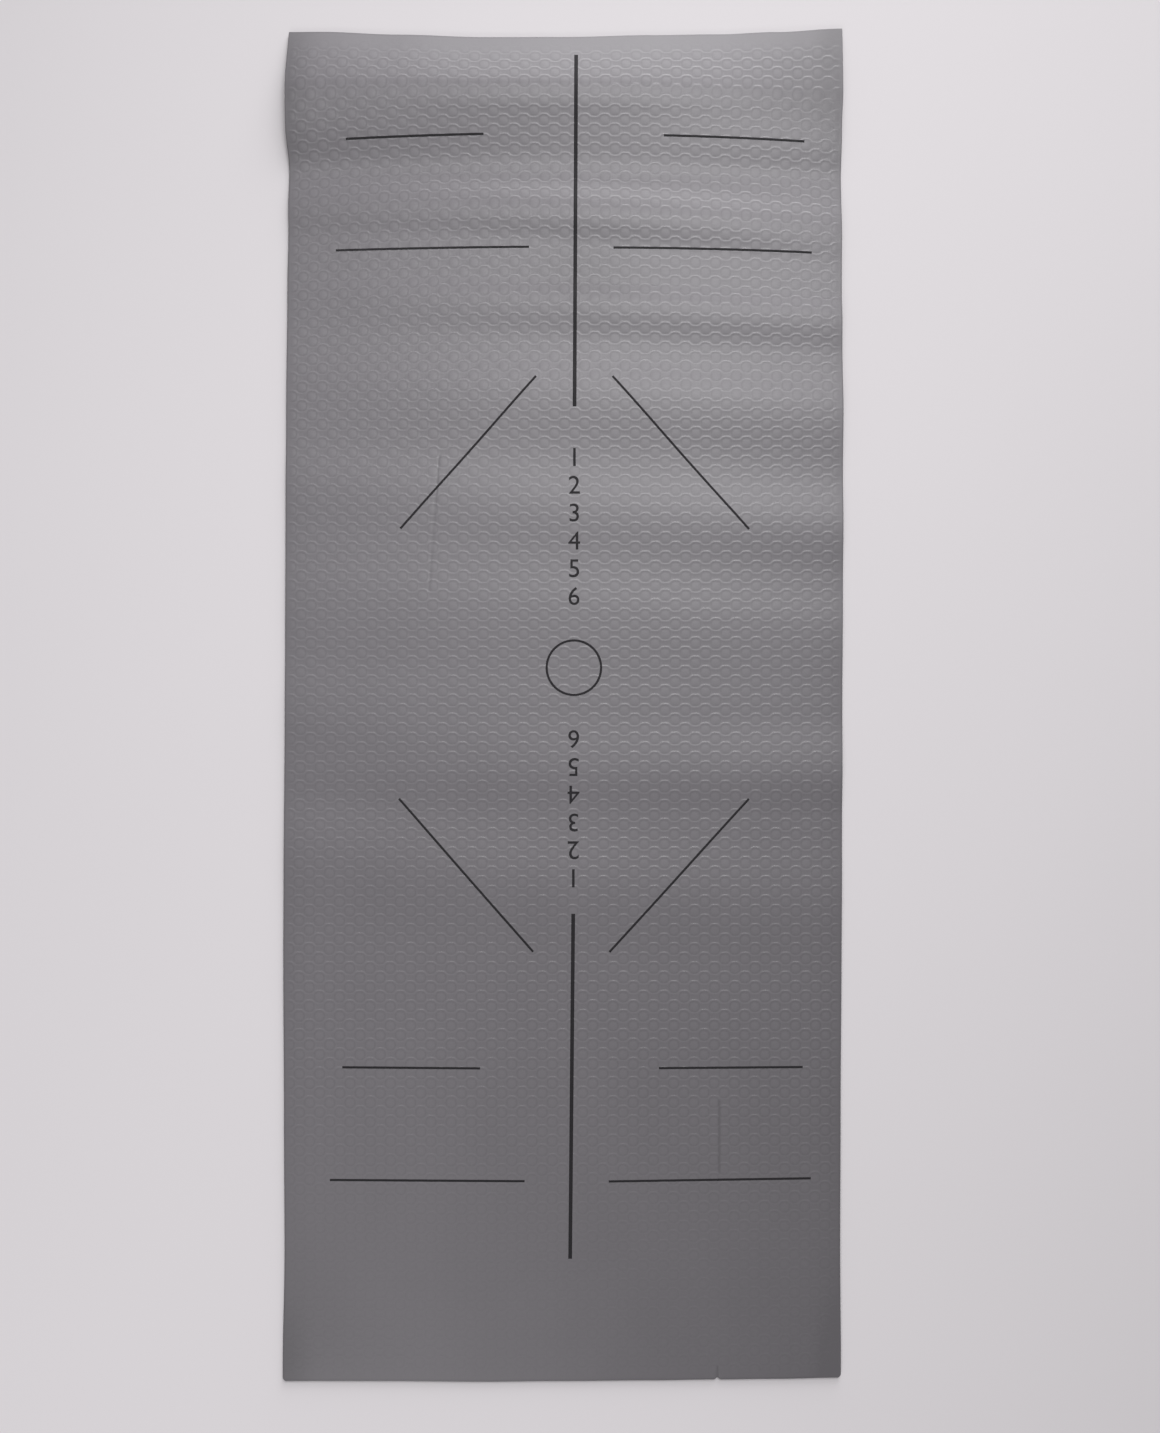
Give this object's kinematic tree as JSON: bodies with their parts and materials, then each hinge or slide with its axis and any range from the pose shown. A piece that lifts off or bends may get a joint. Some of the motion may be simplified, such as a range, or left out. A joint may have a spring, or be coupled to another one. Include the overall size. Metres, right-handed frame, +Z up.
{
  "type": "yoga mat",
  "caption": "Flat rectangular exercise mat of two bonded foam layers, with printed alignment lines, a centre ring and plain numerals; one end still arches from rolling.",
  "frame": {"origin": "on the floor, under the middle of the lying mat", "axes": "+Y to the head end, which arches up, +X to the right with the head end away, +Z up"},
  "size_m": [0.76, 1.835, 0.0267],
  "materials": {
    "embossed_foam": "matte",
    "grip_foam": "matte",
    "printed_ink": "matte"
  },
  "bodies": {
    "root": {"top_layer": "embossed_foam", "bottom_layer": "grip_foam", "centre_ring": "printed_ink", "head_centre_line": "printed_ink", "foot_centre_line": "printed_ink", "head_short_line_left": "printed_ink", "head_short_line_right": "printed_ink", "head_long_line_left": "printed_ink", "head_long_line_right": "printed_ink", "foot_short_line_left": "printed_ink", "foot_short_line_right": "printed_ink", "foot_long_line_left": "printed_ink", "foot_long_line_right": "printed_ink", "head_diagonal_left": "printed_ink", "head_diagonal_right": "printed_ink", "foot_diagonal_left": "printed_ink", "foot_diagonal_right": "printed_ink", "head_numeral_1": "printed_ink", "head_numeral_2": "printed_ink", "head_numeral_3": "printed_ink", "head_numeral_4": "printed_ink", "head_numeral_5": "printed_ink", "head_numeral_6": "printed_ink", "foot_numeral_1": "printed_ink", "foot_numeral_2": "printed_ink", "foot_numeral_3": "printed_ink", "foot_numeral_4": "printed_ink", "foot_numeral_5": "printed_ink", "foot_numeral_6": "printed_ink"}
  },
  "joints": []
}
